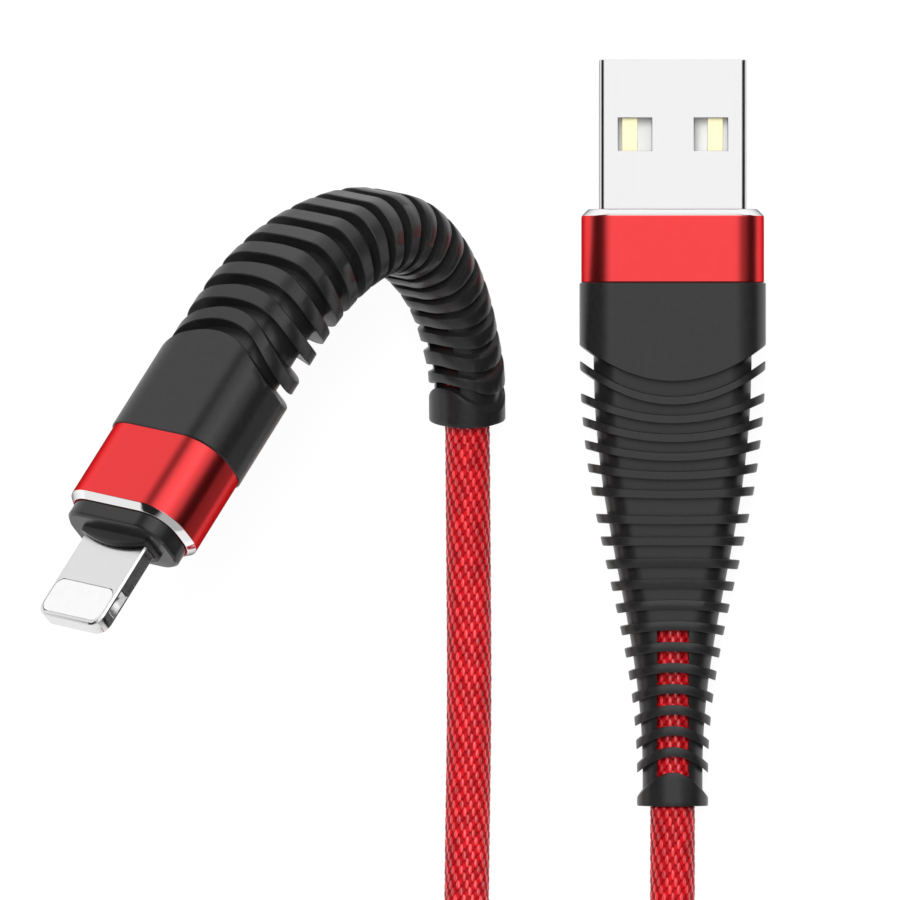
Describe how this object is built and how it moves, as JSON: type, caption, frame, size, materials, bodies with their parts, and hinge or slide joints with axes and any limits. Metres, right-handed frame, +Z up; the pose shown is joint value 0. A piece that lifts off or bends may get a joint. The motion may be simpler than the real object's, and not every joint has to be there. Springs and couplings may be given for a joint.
{
  "type": "charging cable",
  "caption": "Charging cable: USB-A plug to small phone plug, long ribbed strain-relief boots, aluminium rings, braided cord; the phone plug's boot is bent back on itself.",
  "frame": {"origin": "middle of the USB-A plug's underside, on the surface that it lies on, where its ring meets its boot", "axes": "+Y out of the USB-A plug's mouth, +Z up from the surface, +X to the right of the USB-A plug"},
  "size_m": [0.0707, 0.1346, 0.0395],
  "materials": {
    "plug_steel": "bright nickel plate",
    "white_insulator": "glossy white",
    "gold_contact": "gold plate",
    "red_anodised": "red satin anodising with bright-cut bevels",
    "inner_mould": "milky moulding",
    "wire_red": "wire insulation",
    "wire_white": "wire insulation",
    "wire_green": "wire insulation",
    "wire_black": "wire insulation",
    "crimp_brass": "plain crimp band",
    "black_rubber": "satin moulded elastomer",
    "red_braid": "braided nylon",
    "circuit_board": "solder mask",
    "chip_plastic": "moulded package",
    "black_plastic": "satin moulding",
    "tie_fabric": "hook and loop tape"
  },
  "bodies": {
    "cord": {"cord_usb_lead": "red_braid", "cord_tip_lead": "red_braid", "cord_coil": "red_braid", "coil_tie_left": "tie_fabric", "coil_tie_right": "tie_fabric"},
    "usb_head": {"usb_shell": "plug_steel", "usb_insulator": "white_insulator", "usb_contacts": "gold_contact", "usb_ring": "red_anodised", "usb_inner_mould": "inner_mould", "usb_wire_red": "wire_red", "usb_wire_white": "wire_white", "usb_wire_green": "wire_green", "usb_wire_black": "wire_black", "usb_cord_clamp": "crimp_brass", "usb_boot": "black_rubber", "usb_cord_end": "red_braid"},
    "tip_head": {"tip_blade": "plug_steel", "tip_insert": "white_insulator", "tip_pads": "gold_contact", "tip_board": "circuit_board", "tip_controller": "chip_plastic", "tip_shield": "plug_steel", "tip_cap": "black_plastic", "tip_ring": "red_anodised", "tip_inner_mould": "inner_mould", "tip_wire_red": "wire_red", "tip_wire_white": "wire_white", "tip_wire_green": "wire_green", "tip_wire_black": "wire_black", "tip_cord_clamp": "crimp_brass", "tip_boot": "black_rubber", "tip_cord_end": "red_braid"}
  },
  "joints": [
    {"name": "usb_boot_flex", "type": "hinge", "parent": "cord", "child": "usb_head", "pos_m": [0, -0.024, 0.00415], "axis": [1, 0, 0], "range_deg": [0, 60], "stiffness_Nm_per_rad": 0.03, "deforming": ["usb_boot", "usb_cord_end"]},
    {"name": "tip_boot_flex", "type": "hinge", "parent": "cord", "child": "tip_head", "pos_m": [-0.02394, 0.0039, 0.01626], "axis": [-0.7527, 0.1585, -0.639], "range_deg": [-10, 60], "stiffness_Nm_per_rad": 0.03, "deforming": ["tip_boot", "tip_cord_end"]}
  ]
}
